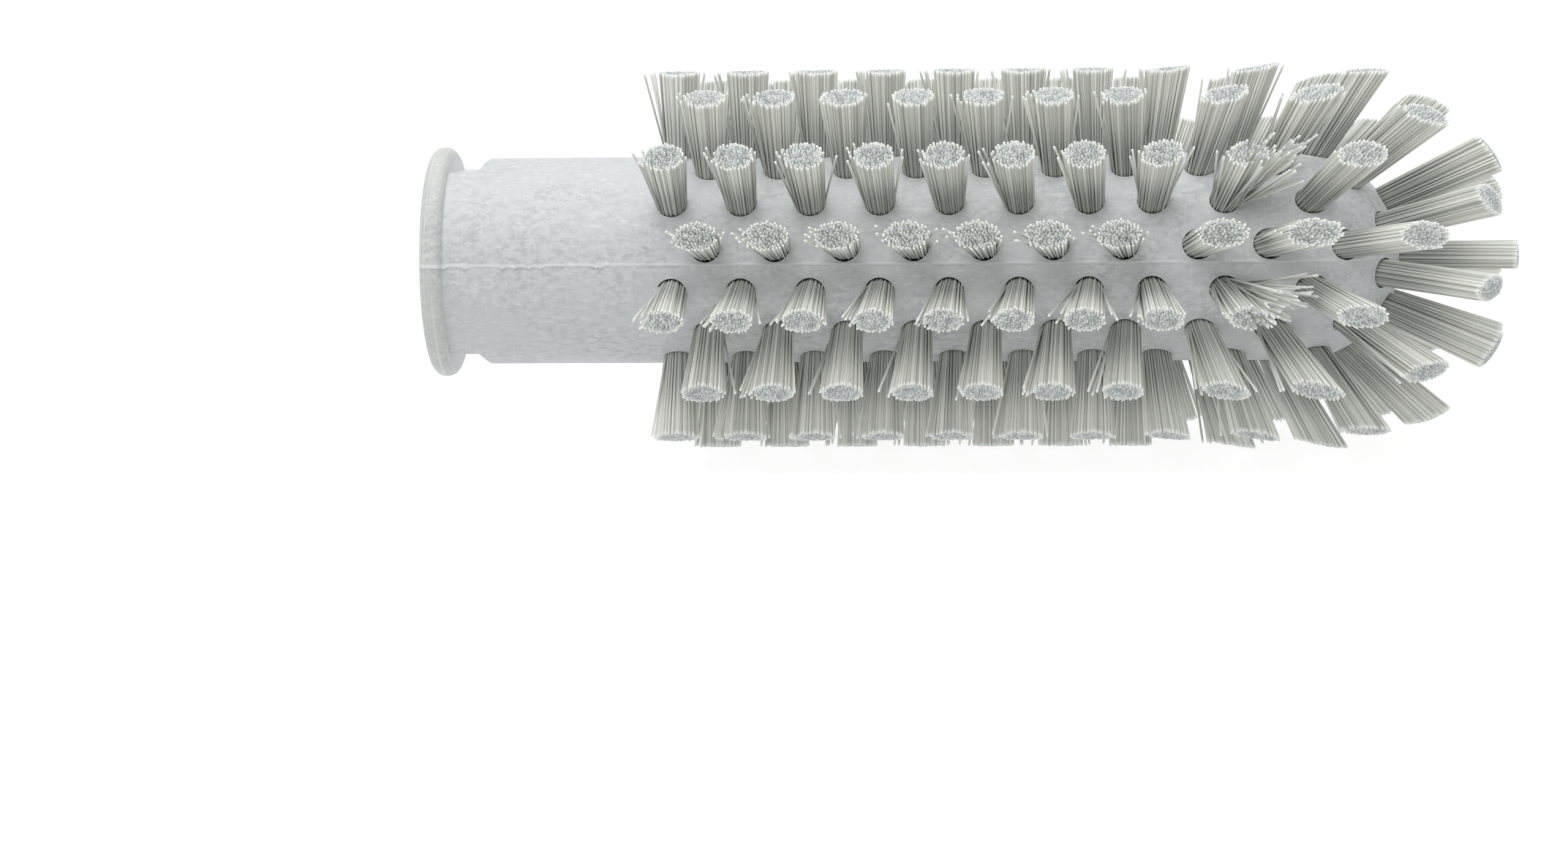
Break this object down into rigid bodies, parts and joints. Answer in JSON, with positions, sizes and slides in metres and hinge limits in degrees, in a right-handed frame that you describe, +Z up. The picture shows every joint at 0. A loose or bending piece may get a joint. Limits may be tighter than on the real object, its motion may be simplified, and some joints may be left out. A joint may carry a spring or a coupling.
{
  "type": "valve brush",
  "caption": "Round moulded brush head with staggered rows of bristle tufts, a tufted round nose, an end flange and a blind socket for a screw-in handle.",
  "frame": {"origin": "centre of the mouth of the handle socket, on the brush's axis at the flange's end face", "axes": "+X along the brush's axis towards the nose, +Z up as the brush lies on its two lowest rows of tufts, -Y towards the viewer of the picture"},
  "size_m": [0.1989, 0.0729, 0.0718],
  "materials": {
    "body_plastic": "pale cool grey moulded plastic, satin, faintly streaked",
    "bristle": "pale warm grey translucent synthetic filament",
    "anchor_wire": "flat stainless wire"
  },
  "bodies": {
    "root": {"brush_body": "body_plastic", "tuft_row_01": "bristle", "anchor_row_01": "anchor_wire", "tuft_row_02": "bristle", "anchor_row_02": "anchor_wire", "tuft_row_03": "bristle", "anchor_row_03": "anchor_wire", "tuft_row_04": "bristle", "anchor_row_04": "anchor_wire", "tuft_row_05": "bristle", "anchor_row_05": "anchor_wire", "tuft_row_06": "bristle", "anchor_row_06": "anchor_wire", "tuft_row_07": "bristle", "anchor_row_07": "anchor_wire", "tuft_row_08": "bristle", "anchor_row_08": "anchor_wire", "tuft_row_09": "bristle", "anchor_row_09": "anchor_wire", "tuft_row_10": "bristle", "anchor_row_10": "anchor_wire", "tuft_row_11": "bristle", "anchor_row_11": "anchor_wire", "tuft_row_12": "bristle", "anchor_row_12": "anchor_wire", "tuft_row_13": "bristle", "anchor_row_13": "anchor_wire", "tuft_row_14": "bristle", "anchor_row_14": "anchor_wire", "nose_tuft": "bristle", "nose_anchor": "anchor_wire"}
  },
  "joints": []
}
